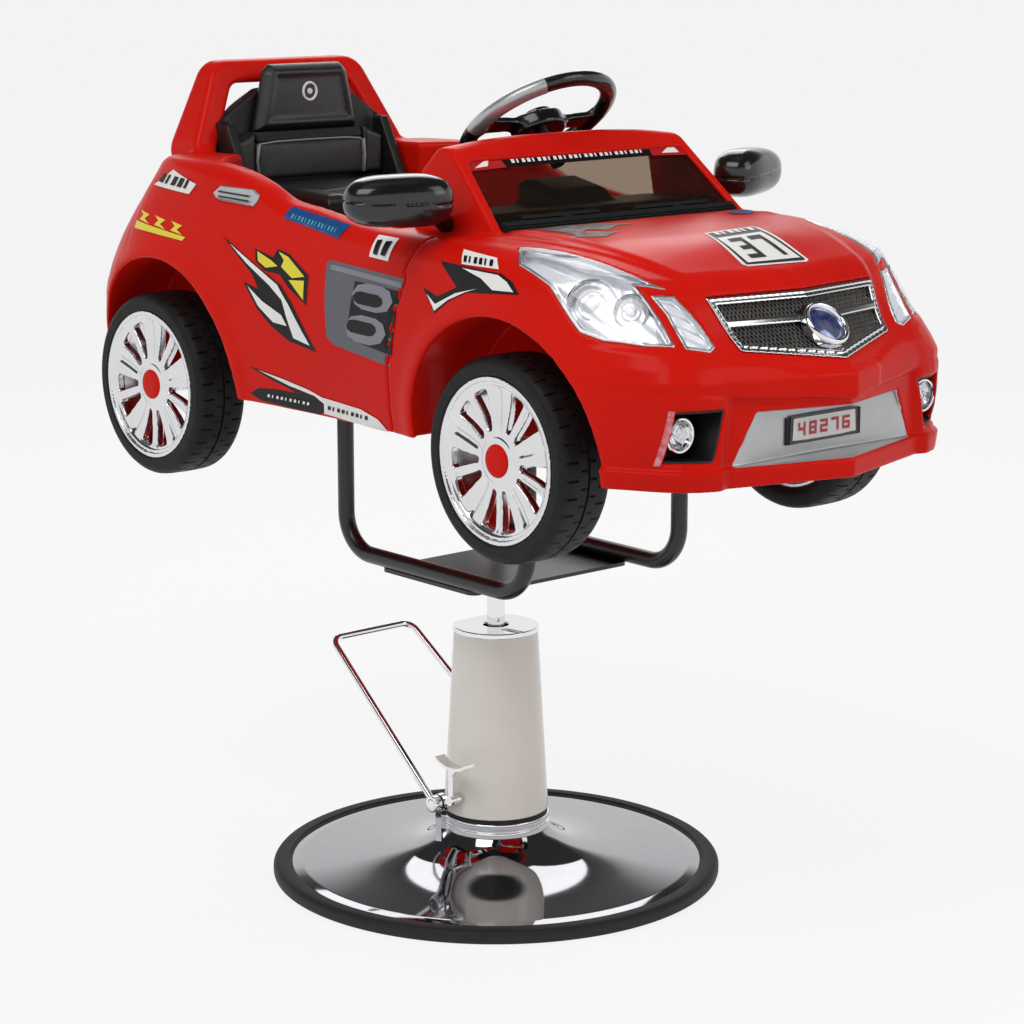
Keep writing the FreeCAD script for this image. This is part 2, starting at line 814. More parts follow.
def level_points(shares, inset):
    """One level of the body: its keel and the points from the right kink round the
    tail to the left kink, set in from the outer skin."""
    rise, nose_back, tail_back, width, vee_depth, vee_half = shares
    z = lip_height + body_height * rise
    nose = nose_x - front_overhang * nose_back - inset
    tail = tail_x + rear_overhang * tail_back + inset
    half = body_half_width * width - inset
    side = [V(nose - front_overhang * vee_depth, -body_half_width * vee_half, z)]
    for along, out in front_corner_shares:
        side.append(V(front_axle_x + (nose - front_axle_x) * along, -half * out, z))
    side.append(V(front_axle_x + (nose - front_axle_x) * front_flare_share, -half, z))
    side.append(V((front_axle_x + rear_axle_x) / 2, -half * waist_share, z))
    side.append(V(rear_axle_x + (tail - rear_axle_x) * rear_flare_share, -half, z))
    for along, out in rear_corner_shares:
        side.append(V(rear_axle_x + (tail - rear_axle_x) * along, -half * out, z))
    left = [V(p.x, -p.y, p.z) for p in reversed(side)]
    return V(nose, 0, z), side + [V(tail, 0, z)] + left


def smooth_edges(rows):
    """A smooth edge through each row of points, all with the first row's spacing."""
    first = rows[0]
    along = [0.0]
    for before, after in zip(first, first[1:]):
        along.append(along[-1] + before.distanceToPoint(after))
    edges = []
    for row in rows:
        curve = Part.BSplineCurve()
        curve.interpolate(Points=row, Parameters=along)
        edges.append(curve.toShape())
    return edges


def closed_solid(faces):
    """A solid from faces that meet along their edges."""
    shell = Part.makeShell(faces)
    shell.sewShape()
    return Part.makeSolid(shell)


def hull(inset):
    """The body's sides, nose and tail, ruled from level to level."""
    levels = [level_points(shares, inset) for shares in level_shares]
    sides = smooth_edges([side for keel, side in levels])
    rings = [[Part.makeLine(keel, side[0]), edge, Part.makeLine(side[-1], keel)]
             for (keel, side), edge in zip(levels, sides)]
    faces = []
    for below, above in zip(rings, rings[1:]):
        faces += [Part.makeRuledSurface(low, high) for low, high in zip(below, above)]
    faces.append(Part.Face(Part.Wire(rings[0])))
    faces.append(Part.Face(Part.Wire(rings[-1])))
    return closed_solid(faces)


def top_points(place, centre, crest, inset):
    """Points across the body's top at one place along the car."""
    x = tail_x + (nose_x - tail_x) * place
    top = lip_height + body_height * centre - inset
    edge = lip_height + body_height * crest - inset
    half = [V(x, crest_half_width * crown_share, top + (edge - top) * crown_share ** 3),
            V(x, crest_half_width, edge)]
    for out, drop in shoulder_shares:
        half.append(V(x, crest_half_width + body_height * out, edge - body_height * drop))
    return [V(p.x, -p.y, p.z) for p in reversed(half)] + [V(x, 0, top)] + half


def above_body(inset):
    """Everything above the hood, the shoulders and the deck, ruled from place to place."""
    stations = [top_points(place, centre, crest, inset)
                for place, centre, crest in top_line_shares]
    faces = []
    tops = []
    edges = smooth_edges(stations)
    ceiling = deck_height + body_height
    for points, edge in zip(stations, edges):
        first, last = points[0], points[-1]
        over = [V(first.x, first.y, ceiling), V(last.x, last.y, ceiling)]
        tops.append([edge, Part.makeLine(last, over[1]), Part.makeLine(over[1], over[0]),
                     Part.makeLine(over[0], first)])
    for behind, ahead in zip(tops, tops[1:]):
        faces += [Part.makeRuledSurface(low, high) for low, high in zip(behind, ahead)]
    faces.append(Part.Face(Part.Wire(tops[0])))
    faces.append(Part.Face(Part.Wire(tops[-1])))
    return closed_solid(faces)


def body_solid(inset):
    return hull(inset).cut(above_body(inset))


def cockpit_outline(grow):
    """Plan of the cockpit: wide at the sides, narrow where the seat is set in."""
    front = front_axle_x - cockpit_front_back + grow
    rear = rear_axle_x - cockpit_rear_back - grow
    neck = rear_axle_x + cockpit_neck_forward
    wide = rear_axle_x + cockpit_wide_forward
    half = cockpit_half_width + grow
    narrow = cockpit_rear_half_width + grow
    return [(front, -half), (front, half), (wide, half), (neck, narrow), (rear, narrow),
            (rear, -narrow), (neck, -narrow), (wide, -half)]


def cockpit_space(grow, low):
    space = plan_prism(cockpit_outline(grow), low, deck_height + body_height / 2)
    return rounded(space, cockpit_corner, lambda edge: is_along(edge, V(0, 0, 1)))


def wheel_space(side, grow):
    """The round spaces of the two wheel wells on one side."""
    inner = well_inner - grow
    outer = body_half_width + overrun
    spaces = []
    for x, radius in ((front_axle_x, front_arch_radius), (rear_arch_x, rear_arch_radius)):
        spaces.append(across(x, arch_height, radius + grow, side * inner, side * outer))
    return spaces


def main_piece(shape):
    """The largest solid of a cut, clear of slivers."""
    return max(shape.Solids, key=lambda solid: solid.Volume)


def body_shell(outer, inner):
    """The moulded body: an outer skin, the cockpit's walls and four wheel wells."""
    wells = wheel_space(-1, body_wall) + wheel_space(1, body_wall)
    openings = wheel_space(-1, 0) + wheel_space(1, 0)
    tub = cockpit_space(body_wall, pan_top - overrun)
    cavity = inner.cut([tub] + wells)
    shell = outer.cut(cavity)
    room = cockpit_space(0, lip_height - overrun).cut(wells)
    shell = shell.cut([room] + openings)
    below_pan = inner.common(box(tail_x, nose_x, -body_half_width, body_half_width,
                                 lip_height - overrun, pan_top))
    shell = shell.cut(below_pan)
    sill_cut = box(rear_arch_x, front_axle_x, -body_half_width - overrun,
                   body_half_width + overrun, lip_height - overrun, lip_height + sill_rise)
    return shell.cut(sill_cut)


def screen_frame_axes():
    slope = math.radians(screen_slope)
    foot = V(screen_foot_x, 0, floor_height + screen_foot_rise)
    up = V(-math.cos(slope), 0, math.sin(slope))
    out = V(math.sin(slope), 0, math.cos(slope))
    return foot, up, out


def screen_outline(side_margin, low, high, depth):
    """A trapezium in the windscreen's plane, sunk below its outer face."""
    foot, up, out = screen_frame_axes()
    base = foot - out * depth
    half_low = screen_width_low / 2 + side_margin
    half_high = screen_width_high / 2 + side_margin
    return [base + up * low + V(0, -half_low, 0), base + up * low + V(0, half_low, 0),
            base + up * high + V(0, half_high, 0), base + up * high + V(0, -half_high, 0)]


def screen_prism(side_margin, low, high, depth, thickness):
    out = screen_frame_axes()[2]
    return prism(screen_outline(side_margin, low, high, depth + thickness), out * thickness)


def screen_wedge(margin, back, length):
    """The windscreen's wedge: slanted front, upright rear, sides that lean in."""
    foot, up, out = screen_frame_axes()
    low_half = screen_width_low / 2 + pillar_width - margin
    high_half = screen_width_high / 2 + pillar_width - margin
    lean = (low_half - high_half) / (screen_length + header_width)
    rows = []
    for along in (-overrun, length):
        point = foot + up * along
        half = low_half - lean * along
        rows.append(Part.makePolygon([
            V(back, -half, point.z), V(point.x, -half, point.z),
            V(point.x, half, point.z), V(back, half, point.z), V(back, -half, point.z)]))
    return Part.makeLoft(rows, True, True)


def windscreen_frame(below):
    """Pillars and header round the windscreen, with cheeks that run back to the cockpit."""
    foot, up, out = screen_frame_axes()
    rise = math.sin(math.radians(screen_slope))
    length = screen_length + header_width + screen_crown / rise
    peak = foot + up * length
    rear = foot.x - cheek_depth
    solid = screen_wedge(0, rear, length)
    hollow = screen_wedge(pillar_width, rear - overrun, length + overrun)
    hollow.translate(out * -frame_depth)
    window = screen_prism(0, 0, screen_length, -frame_depth, frame_depth * 3)
    half = screen_width_high / 2 + pillar_width
    radius = (half ** 2 + screen_crown ** 2) / (2 * screen_crown)
    crown = rod(V(rear - overrun, 0, peak.z - radius),
                V(foot.x + overrun, 0, peak.z - radius), radius)
    fall = side_prism([(peak.x, peak.z), (rear, peak.z - cheek_fall),
                       (rear - overrun, peak.z - cheek_fall), (rear - overrun, peak.z + overrun),
                       (peak.x, peak.z + overrun)], -body_half_width, body_half_width)
    return main_piece(solid.cut([hollow, window, fall]).common(crown).cut(below))


def on_screen(along, side, depth):
    """A point up the windscreen, to one side, sunk below its outer face."""
    foot, up, out = screen_frame_axes()
    return foot + up * along + V(0, side, 0) - out * depth


def screen_bar(start, end, width):
    """A flat bar on the glass between two places, each up the screen and to one side."""
    out = screen_frame_axes()[2]
    first = on_screen(start[0], start[1], glass_inset)
    last = on_screen(end[0], end[1], glass_inset)
    wide = (last - first).cross(out).normalize() * (width / 2)
    return prism([first - wide, last - wide, last + wide, first + wide], out * wiper_thickness)


def cowl_and_wipers(below, frame):
    """Ribbed strip along the glass's foot with two wipers that lie on the glass."""
    face = glass_inset - cowl_thickness
    band = screen_prism(overrun, -overrun, cowl_height, face, cowl_thickness)
    cowl = screen_prism(-seat_gap, -overrun, screen_length, face, cowl_thickness).common(band)
    for row in range(1, int(cowl_height / (2 * cowl_rib)) - 1):
        low = row * 2 * cowl_rib
        cowl = cowl.cut(screen_prism(overrun, low, low + cowl_rib, face - overrun,
                                     cowl_rib + overrun))
    bars = []
    middle = cowl_height / 2
    for side in (-wiper_offset, wiper_offset):
        high = middle + wiper_rise
        half = wiper_blade_length / 2
        bars.append(screen_bar((high, side - half), (high, side + half), wiper_blade_width))
        bars.append(screen_bar((middle, side + wiper_arm_length), (high, side),
                               wiper_arm_width))
    return main_piece(cowl.fuse(bars).cut(below).cut(frame))


def seam_outline(edge, gap):
    """The seam's line from the belt to the sill, closed round the front or the rear."""
    line = [(front_axle_x - wheelbase * back + gap, lip_height + body_height * up)
            for back, up in seam_shares]
    line = [(line[0][0], deck_height + body_height)] + line
    return line + [(edge, line[-1][1]), (edge, line[0][1])]


def ahead_of_seam(gap):
    """Everything in front of the seam."""
    reach = body_half_width + 2 * overrun
    return side_prism(seam_outline(nose_x + overrun, gap), -reach, reach)


def body_point(shares, from_x, overhang):
    along, out, up = shares
    return V(from_x + overhang * along, -body_half_width * out, lip_height + body_height * up)


def outline_prism(points, reach):
    """A prism through an outline on the body, along the outline's own normal."""
    centre = sum(points, V()) * (1 / len(points))
    normal = V()
    for first, second in zip(points, points[1:] + points[:1]):
        normal += (first - centre).cross(second - centre)
    normal.normalize()
    flat = [point - normal * (point - centre).dot(normal) for point in points]
    return centre, normal, flat, prism([p - normal * reach for p in flat], normal * (2 * reach))


def shrunk(centre, points, margin):
    """Outline points drawn in towards the centre."""
    return [point + (centre - point).normalize() * margin for point in points]


def lamp(shares, from_x, overhang, skins):
    """A lamp's opening, lens and bowl, cut from skins of the body at four depths."""
    outer, under_lens, bowl_face, bowl_back = skins
    points = [body_point(share, from_x, overhang) for share in shares]
    reach = bowl_depth * 2
    centre, normal, flat, opening = outline_prism(points, reach)
    small = shrunk(centre, flat, lens_margin)
    lens_shape = prism([p - normal * reach for p in small], normal * (2 * reach))
    lens = lens_shape.common(outer).cut(under_lens)
    core_points = shrunk(centre, flat, bowl_wall)
    core = prism([p - normal * reach for p in core_points], normal * (2 * reach))
    hollow = core.common(under_lens).cut(bowl_face)
    bowl = opening.common(under_lens).cut(bowl_back).cut(hollow)
    return opening, lens, bowl


def projectors():
    """Two round lamps in the headlight's bowl, pointing forward."""
    splay = math.radians(projector_splay)
    ahead = V(math.cos(splay), -math.sin(splay), 0)
    lamps = []
    for shares, radius in zip(projector_shares, (projector_radius, reflector_radius)):
        back = body_point(shares, front_axle_x, front_overhang) - ahead * projector_length / 2
        barrel = Part.makeCylinder(radius, projector_length, back, ahead)
        cup = Part.makeCylinder(radius - bowl_wall, projector_length / 2,
                                back + ahead * (projector_length / 2), ahead)
        lamps.append(barrel.cut(cup))
    return lamps


# Front end

def nose_height(share):
    return lip_height + body_height * share


def grille_outline(grow):
    """The grille seen from ahead: a wide trapezium with a keel in the middle."""
    top = nose_height(grille_top_height_share) + grow
    low = nose_height(grille_low_height_share) - grow
    keel = nose_height(grille_keel_share) - grow
    wide = grille_top_half + grow
    narrow = grille_low_half + grow
    x = front_axle_x
    return [V(x, -wide, top), V(x, wide, top), V(x, narrow, low), V(x, 0, keel),
            V(x, -narrow, low)]


def grille_frame(proud, sunk):
    """Chromed surround with a bar across the middle."""
    forward = V(front_overhang + overrun, 0, 0)
    inner = prism(grille_outline(-grille_bar), forward)
    middle = (nose_height(grille_top_height_share) + nose_height(grille_low_height_share)) / 2
    half = grille_bar / 2
    bar = box(front_axle_x - overrun, nose_x, -grille_top_half, grille_top_half,
              middle - half, middle + half)
    outer = prism(grille_outline(0), forward)
    return outer.cut(inner.cut(bar)).common(proud).cut([sunk, badge_room()])


def grille_mesh(front, back):
    """A thin plate with staggered holes behind the surround."""
    forward = V(front_overhang + overrun, 0, 0)
    plate = prism(grille_outline(mesh_margin), forward).common(front).cut(back)
    low = nose_height(grille_low_height_share)
    top = nose_height(grille_top_height_share)
    rows = int((top - low) / mesh_pitch)
    columns = int(grille_low_half / mesh_pitch)
    holes = []
    for row in range(rows):
        z = low + mesh_pitch * (row + 1 / 2)
        shift = mesh_pitch / 2 * (row % 2)
        for column in range(-columns, columns):
            y = mesh_pitch * (column + 1 / 2) + shift
            hole = Part.makeCylinder(mesh_hole_radius, front_overhang, V(front_axle_x, y, z),
                                     V(1, 0, 0))
            holes.append(hole)
    return plate.cut(holes).cut(badge_room())


def badge_room():
    """The badge's seat through the grille."""
    centre, out = badge_axes()
    return Part.makeCylinder(badge_radius, 2 * badge_height, centre - out * badge_height, out)


def badge_axes():
    """The badge lies on the grille's leaning face."""
    low_rise, low_back = level_shares[4][:2]
    top_rise, top_back = level_shares[6][:2]
    low = V(nose_x - front_overhang * low_back, 0, nose_height(low_rise))
    top = V(nose_x - front_overhang * top_back, 0, nose_height(top_rise))
    up = (top - low).normalize()
    return low + (top - low) * badge_share, V(up.z, 0, -up.x)


def badge_ring_part():
    centre, out = badge_axes()
    back = centre - out * (badge_height / 2)
    ring = Part.makeCylinder(badge_radius, badge_height, back, out)
    return ring.cut(Part.makeCylinder(badge_radius - badge_ring, badge_height, back, out))


def badge_lens():
    centre, out = badge_axes()
    back = centre - out * (badge_height / 2)
    return Part.makeCylinder(badge_radius - badge_ring, badge_height * 3 / 4, back, out)


def recess_prism(grow):
    """The bumper's recess seen from ahead, grown by the tray's wall."""
    top = nose_height(recess_top_share) + grow
    low = nose_height(recess_low_share) - grow
    x = nose_x - recess_depth - grow
    return prism([V(x, -recess_half_top - grow, top), V(x, recess_half_top + grow, top),
                  V(x, recess_half_low + grow, low), V(x, -recess_half_low - grow, low)],
                 V(recess_depth + grow + overrun, 0, 0))


def bumper_panel(outer):
    """Silver tray set into the bumper."""
    return outer.common(recess_prism(panel_thickness)).cut(recess_prism(0))


def number_plate():
    middle = (nose_height(recess_top_share) + nose_height(recess_low_share)) / 2
    x = nose_x - recess_depth
    return box(x, x + plate_face, -plate_half, plate_half,
               middle - plate_height / 2, middle + plate_height / 2)


def fog_prism(grow):
    """The fog lamp's pocket on the right, seen from ahead, grown by the cup's wall."""
    y = -fog_offset
    z = nose_height(fog_height_share)
    wide = fog_pocket_half_wide + grow
    high = fog_pocket_half_high + grow
    lean = fog_pocket_half_high / 2
    back = nose_x - fog_set_back - grow
    return prism([V(back, y + wide, z + high), V(back, y + wide - lean, z - high),
                  V(back, y - wide + lean / 2, z - high), V(back, y - wide + lean, z + high)],
                 V(front_overhang / 2, 0, 0))


def fog_pocket(outer):
    return outer.common(fog_prism(bowl_wall)).cut(fog_prism(0))


def fog_lamp():
    back = nose_x - fog_set_back
    z = nose_height(fog_height_share)
    lamp_body = Part.makeCylinder(fog_radius, fog_depth, V(back, -fog_offset, z), V(1, 0, 0))
    dish = Part.makeSphere(fog_radius * 2, V(back + fog_depth + fog_radius * 3 / 2,
                                             -fog_offset, z))
    return lamp_body.cut(dish)


# Roll bar

def roll_bar(below):
    """An arch behind the seat, deep at its feet and shallower across the top."""
    rear = rear_axle_x - bar_rear_back
    top = deck_height + bar_rise
    base = deck_height - overrun
    slope = (bar_foot_half - bar_corner_half) / (bar_rise - bar_corner_drop)
    foot = bar_foot_half + slope * overrun
    outer = [(foot, base), (bar_corner_half, top - bar_corner_drop), (bar_top_half, top)]
    t0 = bar_foot_thickness
    t1 = bar_top_thickness
    inner = [(foot - t0, base), (bar_corner_half - t0, top - bar_corner_drop - t0),
             (bar_top_half - t1 / 2, top - t1)]
    right = [V(rear, -y, z) for y, z in outer]
    left = [V(rear, y, z) for y, z in reversed(outer)]
    inner_left = [V(rear, y, z) for y, z in inner]
    inner_right = [V(rear, -y, z) for y, z in reversed(inner)]
    arch = prism(right + left + inner_left + inner_right, V(bar_foot_depth, 0, 0))
    front_top = rear + bar_top_depth
    front_foot = rear + bar_foot_depth
    side = side_prism([(rear, base), (front_foot, base), (front_top, top), (rear, top)],
                      -foot, foot)
    return arch.common(side).cut(below)


# Seat

def seat_front_x():
    return rear_axle_x - seat_back_x_back


def seat_levels():
    top = floor_height + head_top_rise
    return (top, top - head_height, top - shoulder_drop, top - wing_drop,
            floor_height + cushion_top_rise)


def seat_shell():
    """Bucket shell: a shaped back with side wings, on a box that stands on the floor pan."""
    top, head_low, shoulder, wing, cushion_top = seat_levels()
    x = seat_front_x() - head_thickness
    back_top = top - back_top_drop
    outline = [(head_top_half, back_top), (shoulder_half, shoulder), (wing_half, wing),
               (wing_half, cushion_top - cushion_thickness)]
    right = [V(x, -y, z) for y, z in outline]
    left = [V(x, y, z) for y, z in reversed(outline)]
    back = prism(right + left, V(-shell_thickness, 0, 0))
    front = seat_front_x() + wing_depth
    wings = []
    for side in (-1, 1):
        outer = side * wing_half
        inner = side * (wing_half - wing_thickness)
        low = cushion_top - cushion_thickness
        wings.append(side_prism([(x, low), (front, low), (front, cushion_top),
                                 (x + wing_depth / 2, wing), (x, wing)],
                                min(outer, inner), max(outer, inner)))
    front_face = seat_front_x() + cushion_length - seat_box_inset
    ceiling = cushion_top - cushion_thickness
    base = box(x - shell_thickness, front_face, -wing_half, wing_half, pan_top, ceiling)
    hollow = box(x - shell_thickness + seat_wall, front_face - seat_wall,
                 -wing_half + seat_wall, wing_half - seat_wall, pan_top, ceiling - seat_wall)
    return back.fuse(wings + [base]).cut(hollow)


def pad(outline, x0, thickness, crown):
    """A pad on the seat's back: a slab with a crowned front."""
    points = [V(x0, y, z) for y, z in outline]
    slab = prism(points, V(thickness, 0, 0))
    return rounded(slab, crown, lambda edge: edge.BoundBox.XMin > x0 + thickness - seat_gap)


def headrest_pad():
    top, head_low, shoulder, wing, cushion_top = seat_levels()
    x0 = seat_front_x() - head_thickness
    outline = [(-head_top_half, top), (head_top_half, top), (head_low_half, head_low),
               (-head_low_half, head_low)]
    return pad(outline, x0, head_thickness, pad_round)


def lumbar_pad():
    top, head_low, shoulder, wing, cushion_top = seat_levels()
    x0 = seat_front_x() - head_thickness
    high = head_low - face_gap
    outline = [(-lumbar_half, high), (lumbar_half, high), (lumbar_half, cushion_top + face_gap),
               (-lumbar_half, cushion_top + face_gap)]
    return pad(outline, x0, lumbar_thickness, pad_round)


def back_bolster():
    """Padding between the lumbar pad and the shell's wing, on the right."""
    top, head_low, shoulder, wing, cushion_top = seat_levels()
    x0 = seat_front_x() - head_thickness
    inner = lumbar_half + face_gap
    outer = wing_half - wing_thickness - face_gap
    outline = [(-outer, cushion_top + face_gap), (-inner, cushion_top + face_gap),
               (-inner, head_low), (-outer, wing - shoulder_drop / 2)]
    return pad(outline, x0, head_thickness, pad_round)


def seat_back_pads():
    """The lumbar pad with a bolster on each side."""
    bolster = back_bolster()
    return Part.makeCompound([lumbar_pad(), bolster, mirrored(bolster)])


def seat_cushion():
    top, head_low, shoulder, wing, cushion_top = seat_levels()
    rear = seat_front_x() - head_thickness
    front = seat_front_x() + cushion_length
    half = wing_half - wing_thickness - face_gap
    block = box(rear, front, -half, half, cushion_top - cushion_thickness, cushion_top)
    return rounded(block, pad_round * 2, lambda edge: is_along(edge, V(0, 1, 0))
                   and edge.BoundBox.XMin > front - seat_gap)


# Dashboard and steering

def steering_axes():
    tilt = math.radians(steering_tilt)
    centre = V(steering_x, 0, floor_height + steering_rise)
    out = V(-math.sin(tilt), 0, math.cos(tilt))
    across_wheel = V(0, 1, 0)
    forward = across_wheel.cross(out)
    return centre, out, across_wheel, forward


def dashboard(below):
    """Panel behind the windscreen with a hood over the steering shaft."""
    rear = front_axle_x - dash_rear_back
    foot, up, out = screen_frame_axes()
    low = lip_height + body_height / 2
    top = foot.z + dash_rise
    front = foot.x - frame_depth * 2
    slope = math.tan(math.radians(screen_slope))
    shelf_front = front - dash_rise / slope
    panel = side_prism([(rear, low), (front, low), (front, foot.z),
                        (shelf_front, top), (rear, top)], -dash_half_width, dash_half_width)
    high = foot.z + binnacle_rise
    hood_front = front - binnacle_rise / slope
    hood = side_prism([(rear, top), (shelf_front, top), (hood_front, high), (rear, high)],
                      -binnacle_half_width, binnacle_half_width)
    centre, axis, side, forward = steering_axes()
    shaft = rod(centre, centre - axis * (steering_shaft_length + overrun),
                steering_shaft_radius + running_gap)
    return panel.fuse(hood).cut(below).cut(shaft)


def steering_wheel():
    """Rim, hub and three spokes."""
    centre, axis, side, forward = steering_axes()
    ring = Part.makeTorus(steering_radius, steering_grip_radius, centre, axis)
    hub_low = centre - axis * (steering_hub_height / 2 + spoke_droop)
    hub = Part.makeCylinder(steering_hub_radius, steering_hub_height, hub_low, axis)
    pieces = [hub]
    for direction in (side, side * -1, forward * -1):
        wide = direction.cross(axis).normalize() * (spoke_width / 2)
        start = centre - axis * spoke_droop
        end = centre + direction * steering_radius
        lower = axis * -spoke_thickness
        section = [start - wide, start + wide, end + wide, end - wide]
        pieces.append(prism(section, lower))
    wheel = ring.fuse(pieces)
    pocket = Part.makeCylinder(horn_radius + running_gap, horn_height + horn_travel,
                               hub_low + axis * (steering_hub_height - horn_height), axis)
    return wheel.cut(pocket).fuse(steering_shaft())


def steering_shaft():
    centre, axis, side, forward = steering_axes()
    hub_low = centre - axis * (steering_hub_height / 2 + spoke_droop)
    top = hub_low + axis * (steering_hub_height / 2)
    return rod(centre - axis * steering_shaft_length, top, steering_shaft_radius)


def horn_button():
    centre, axis, side, forward = steering_axes()
    hub_low = centre - axis * (steering_hub_height / 2 + spoke_droop)
    base = hub_low + axis * (steering_hub_height - horn_height + horn_travel + face_gap)
    button = Part.makeCylinder(horn_radius, horn_height, base, axis)
    return rounded(button, horn_height / 4,
                   lambda edge: edge.BoundBox.Center.distanceToPoint(base + axis * horn_height)
                   < horn_height / 4)


# Mirrors and trim

def mirror_pod():
    """A rounded pod on a short arm, with a flat rear face for the glass; right side."""
    z = floor_height + mirror_rise
    root = V(mirror_x + mirror_sweep, -mirror_root, z)
    tip = V(mirror_x - mirror_sweep / 2, -mirror_root - mirror_reach, z)
    along = tip - root
    sections = []
    for share, size in zip(mirror_station_shares, mirror_size_shares):
        centre = root + along * share
        wide = mirror_depth / 2 * size
        high = mirror_height / 2 * size
        edge = Part.Ellipse(V(0, 0, 0), max(wide, high), min(wide, high)).toShape()
        edge.rotate(V(), V(1, 0, 0), 90)
        edge.translate(centre)
        sections.append(Part.Wire(edge))
    pod = Part.makeLoft(sections, True, False)
    return pod


def mirror_pieces(cheek):
    pod = mirror_pod()
    z = floor_height + mirror_rise
    rear = mirror_x - mirror_depth / 4
    face = box(rear - mirror_depth, rear, -mirror_root - mirror_reach, -mirror_root,
               z - mirror_height, z + mirror_height)
    housing = pod.cut(face)
    glass = pod.common(face).common(box(rear - mirror_glass_thickness, rear,
                                        -mirror_root - mirror_reach + mirror_glass_margin * 2,
                                        -mirror_root - mirror_glass_margin * 2,
                                        z - mirror_height / 2 + mirror_glass_margin,
                                        z + mirror_height / 2 - mirror_glass_margin))
    arm = across(mirror_x + mirror_sweep, z, mirror_arm_radius,
                 -mirror_root - mirror_reach / 4, -screen_width_low / 2)
    housing = housing.fuse(arm).cut(cheek)
    return main_piece(housing), main_piece(glass)


def handle_trim(raised, outer):
    """Silver finger plate behind the belt on the right side, following the body's skin."""
    x = front_axle_x - handle_set_back
    z = lip_height + body_height * handle_height_share
    half = handle_length / 2
    high = handle_height / 2
    slant = handle_height * 3 / 4
    outline = [(x - half, z + high), (x + half - slant / 2, z + high), (x + half, z),
               (x + half - slant, z - high), (x - half + slant, z - high)]
    band = side_prism(outline, -body_half_width - overrun, -body_half_width / 2)
    return main_piece(band.common(raised).cut(outer))


# Wheels

def wheel_solid(profile):
    """A closed profile of (radius, distance from the centre plane) turned about Y."""
    points = [V(r, -y, 0) for r, y in profile]
    face = Part.Face(Part.makePolygon(points + points[:1]))
    return face.revolve(V(), V(0, 1, 0), 360)


def tyre():
    """Tyre with rounded shoulders and a groove round the tread."""
    inner = tyre_inner_face
    outer = wheel_outer_face
    s = tyre_shoulder
    bead = rim_seat_radius
    third = s / 3
    body = wheel_solid([(bead, inner + s / 2), (tyre_radius - s, inner),
                        (tyre_radius - third, inner + third), (tyre_radius, inner + s),
                        (tyre_radius, outer - s), (tyre_radius - third, outer - third),
                        (tyre_radius - s, outer), (rim_radius, outer - rim_lip / 2),
                        (rim_radius, outer - rim_lip), (bead, outer - rim_lip)])
    middle = (inner + outer) / 2
    half = tread_groove_width / 2
    groove = wheel_solid([(tyre_radius - tread_groove_depth, middle - half),
                          (tyre_radius + overrun, middle - half),
                          (tyre_radius + overrun, middle + half),
                          (tyre_radius - tread_groove_depth, middle + half)])
    return body.cut(groove)


def window(angle):
    """One opening between two spokes, wider towards the rim."""
    half = math.radians(window_half_angle)
    corners = []
    narrow = half * window_taper_share
    for radius, turn in ((window_inner, -narrow), (window_outer, -half),
                         (window_outer, half), (window_inner, narrow)):
        bearing = math.radians(angle) + turn
        corners.append(V(radius * math.cos(bearing), -wheel_outer_face - overrun,
                         radius * math.sin(bearing)))
    return prism(corners, V(0, face_thickness + rim_dish + 2 * overrun, 0))


def rim():
    """Chromed rim: barrel, outer lip, dished face with paired spokes, and a bored hub."""
    outer = wheel_outer_face
    inner = tyre_inner_face + tyre_shoulder / 2
    seat = rim_seat_radius
    face = outer - rim_dish
    back = face - face_thickness
    hub_inner = axle_beam_half + face_gap
    bore = axle_radius + running_gap
    pocket = hub_cap_radius - rim_wall
    pocket_floor = face - axle_nut_height - 2 * face_gap
    profile = [(bore, hub_inner), (hub_tube_radius, hub_inner), (hub_tube_radius, back),
               (window_outer, back), (seat - rim_wall, back - rim_dish),
               (seat - rim_wall, inner), (seat, inner), (seat, outer - rim_lip),
               (rim_radius, outer - rim_lip), (rim_radius, outer),
               (rim_radius - rim_lip, outer), (window_outer, face),
               (hub_face_radius, face), (pocket, face), (pocket, pocket_floor),
               (bore, pocket_floor)]
    solid = wheel_solid(profile)
    cuts = []
    for i in range(spoke_count):
        middle = 90 + 360 / spoke_count * (i + 1 / 2)
        cuts += [window(middle - window_spread), window(middle + window_spread)]
    return solid.cut(cuts)


def hub_cap():
    face = wheel_outer_face - rim_dish
    top = face + hub_cap_thickness
    radius = hub_cap_radius
    return wheel_solid([(0, face), (radius, face), (radius, top - hub_cap_dome),
                        (radius / 2, top), (0, top)])


def axle(x):
    """A steel axle welded into the beam that holds it under the floor pan."""
    reach = wheel_outer_face - rim_dish - 2 * face_gap
    beam = box(x - axle_beam_width / 2, x + axle_beam_width / 2, -axle_beam_half,
               axle_beam_half, floor_height - axle_beam_height, floor_height)
    return beam.fuse(across(x, axle_height, axle_radius, -reach, reach))


def axle_nuts():
    outer = wheel_outer_face - rim_dish - 2 * face_gap
    nuts = []
    for x in (front_axle_x, rear_axle_x):
        nut = across(x, axle_height, axle_nut_radius, -outer, -outer + axle_nut_height - face_gap)
        nuts.append(nut.cut(across(x, axle_height, axle_radius, -outer - overrun, 0)))
    return nuts


def floor_pan(inner):
    """Black pan that closes the body below, cut clear of the wheels."""
    slab = box(tail_x, nose_x, -body_half_width, body_half_width, floor_height, pan_top)
    low = V(0, 0, floor_height)
    holes = [rod(place + low, place + low + V(0, 0, floor_thickness), rail_bolt_radius)
             for place in rail_bolt_places()]
    wells = wheel_space(-1, body_wall) + wheel_space(1, body_wall)
    return inner.common(slab).cut(wells + holes + [mirrored(hole) for hole in holes])


# Assembly

